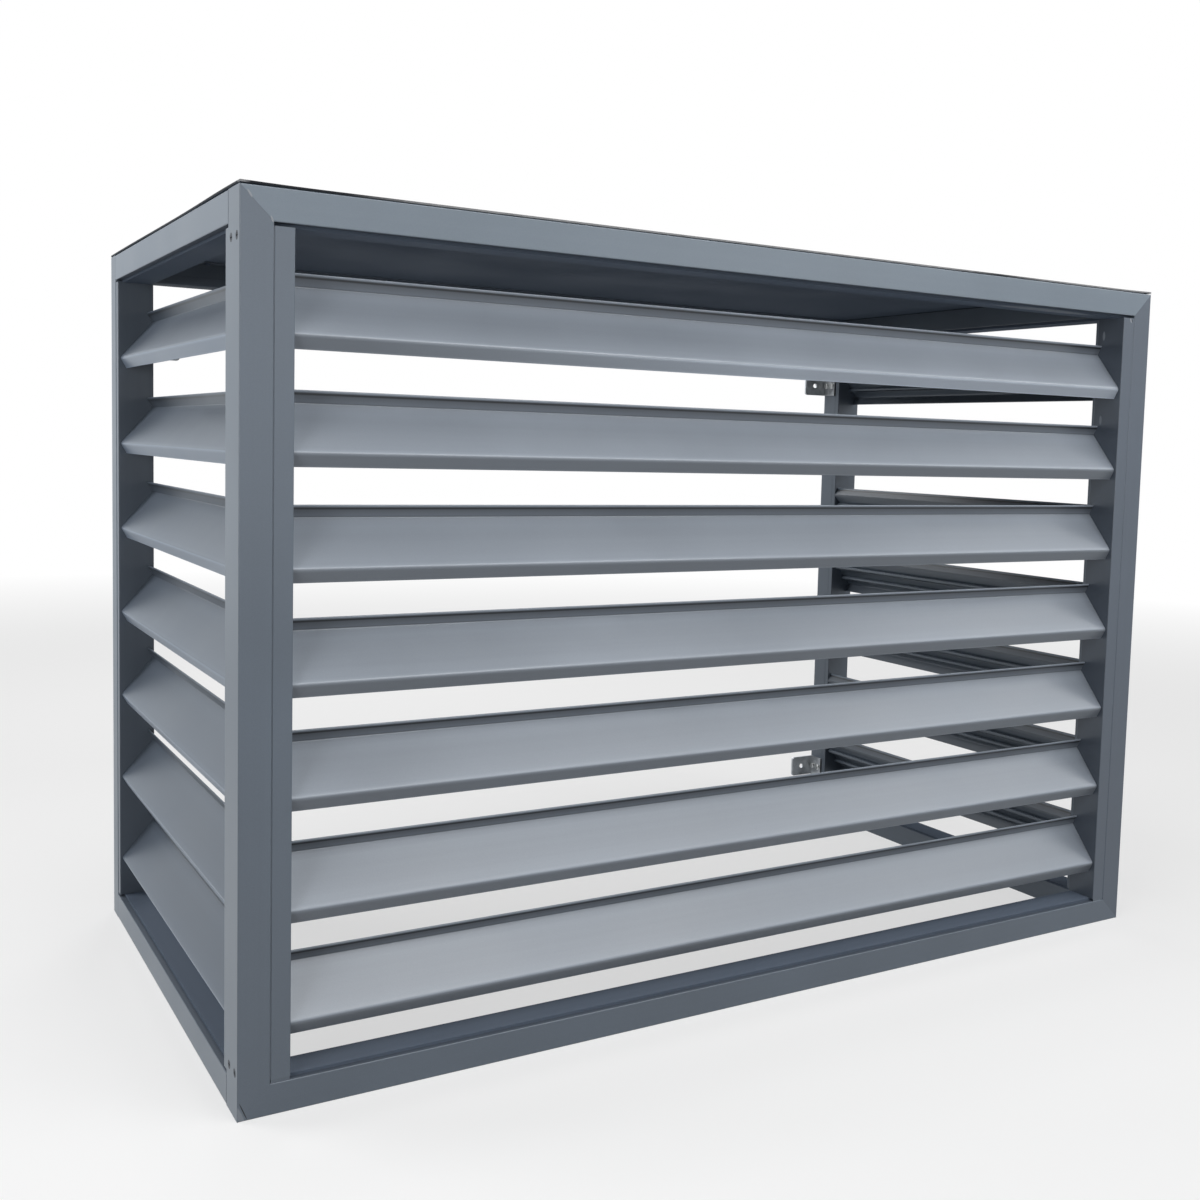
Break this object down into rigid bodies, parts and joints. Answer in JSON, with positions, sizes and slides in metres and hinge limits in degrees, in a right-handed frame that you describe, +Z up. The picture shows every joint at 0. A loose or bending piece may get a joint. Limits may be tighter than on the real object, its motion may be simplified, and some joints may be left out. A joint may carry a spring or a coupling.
{
  "type": "air conditioner screen",
  "caption": "Three-sided louvred aluminium screen with an open back and a lift-off top sheet, for standing around outdoor equipment.",
  "frame": {"origin": "on the ground, at the centre of the footprint", "axes": "+X along the front to the right as seen from in front, +Y from the front to the open back, +Z up"},
  "size_m": [1.12, 0.6, 0.8012],
  "materials": {
    "frame_coat": "satin powder coat",
    "blade_coat": "satin powder coat",
    "sheet_coat": "satin powder coat, dark edge",
    "bare_aluminium": "mill",
    "dark_screw": "dark oxide",
    "zinc_screw": "zinc plated",
    "bracket_steel": "zinc plated",
    "plug_plastic": "moulded"
  },
  "bodies": {
    "screen": {"back_left_post": "frame_coat", "back_right_post": "frame_coat", "back_top_rail": "frame_coat", "bracket_screws": "zinc_screw", "cassette_screws": "zinc_screw", "frame_screws": "dark_screw", "front_blade_1": "blade_coat", "front_blade_2": "blade_coat", "front_blade_3": "blade_coat", "front_blade_4": "blade_coat", "front_blade_5": "blade_coat", "front_blade_6": "blade_coat", "front_blade_7": "blade_coat", "front_blade_screws": "zinc_screw", "front_bottom_rail": "frame_coat", "front_corner_keys": "bare_aluminium", "front_head": "frame_coat", "front_left_jamb": "frame_coat", "front_left_post": "frame_coat", "front_right_jamb": "frame_coat", "front_right_post": "frame_coat", "front_sill": "frame_coat", "front_top_rail": "frame_coat", "left_back_jamb": "frame_coat", "left_blade_1": "blade_coat", "left_blade_2": "blade_coat", "left_blade_3": "blade_coat", "left_blade_4": "blade_coat", "left_blade_5": "blade_coat", "left_blade_6": "blade_coat", "left_blade_7": "blade_coat", "left_blade_screws": "zinc_screw", "left_bottom_rail": "frame_coat", "left_front_jamb": "frame_coat", "left_head": "frame_coat", "left_sill": "frame_coat", "left_top_rail": "frame_coat", "post_end_plugs": "plug_plastic", "rail_spigots": "bare_aluminium", "right_back_jamb": "frame_coat", "right_blade_1": "blade_coat", "right_blade_2": "blade_coat", "right_blade_3": "blade_coat", "right_blade_4": "blade_coat", "right_blade_5": "blade_coat", "right_blade_6": "blade_coat", "right_blade_7": "blade_coat", "right_blade_screws": "zinc_screw", "right_bottom_rail": "frame_coat", "right_front_jamb": "frame_coat", "right_head": "frame_coat", "right_sill": "frame_coat", "right_top_rail": "frame_coat", "spigot_screws": "zinc_screw", "wall_brackets": "bracket_steel"},
    "top": {"top_sheet": "sheet_coat", "top_front_angle": "frame_coat", "top_back_angle": "frame_coat", "top_rivets": "bare_aluminium"}
  },
  "joints": [
    {"name": "top_lift", "type": "slide", "parent": "screen", "child": "top", "axis": [0, 0, 1], "range_m": [0, 0.15]}
  ]
}
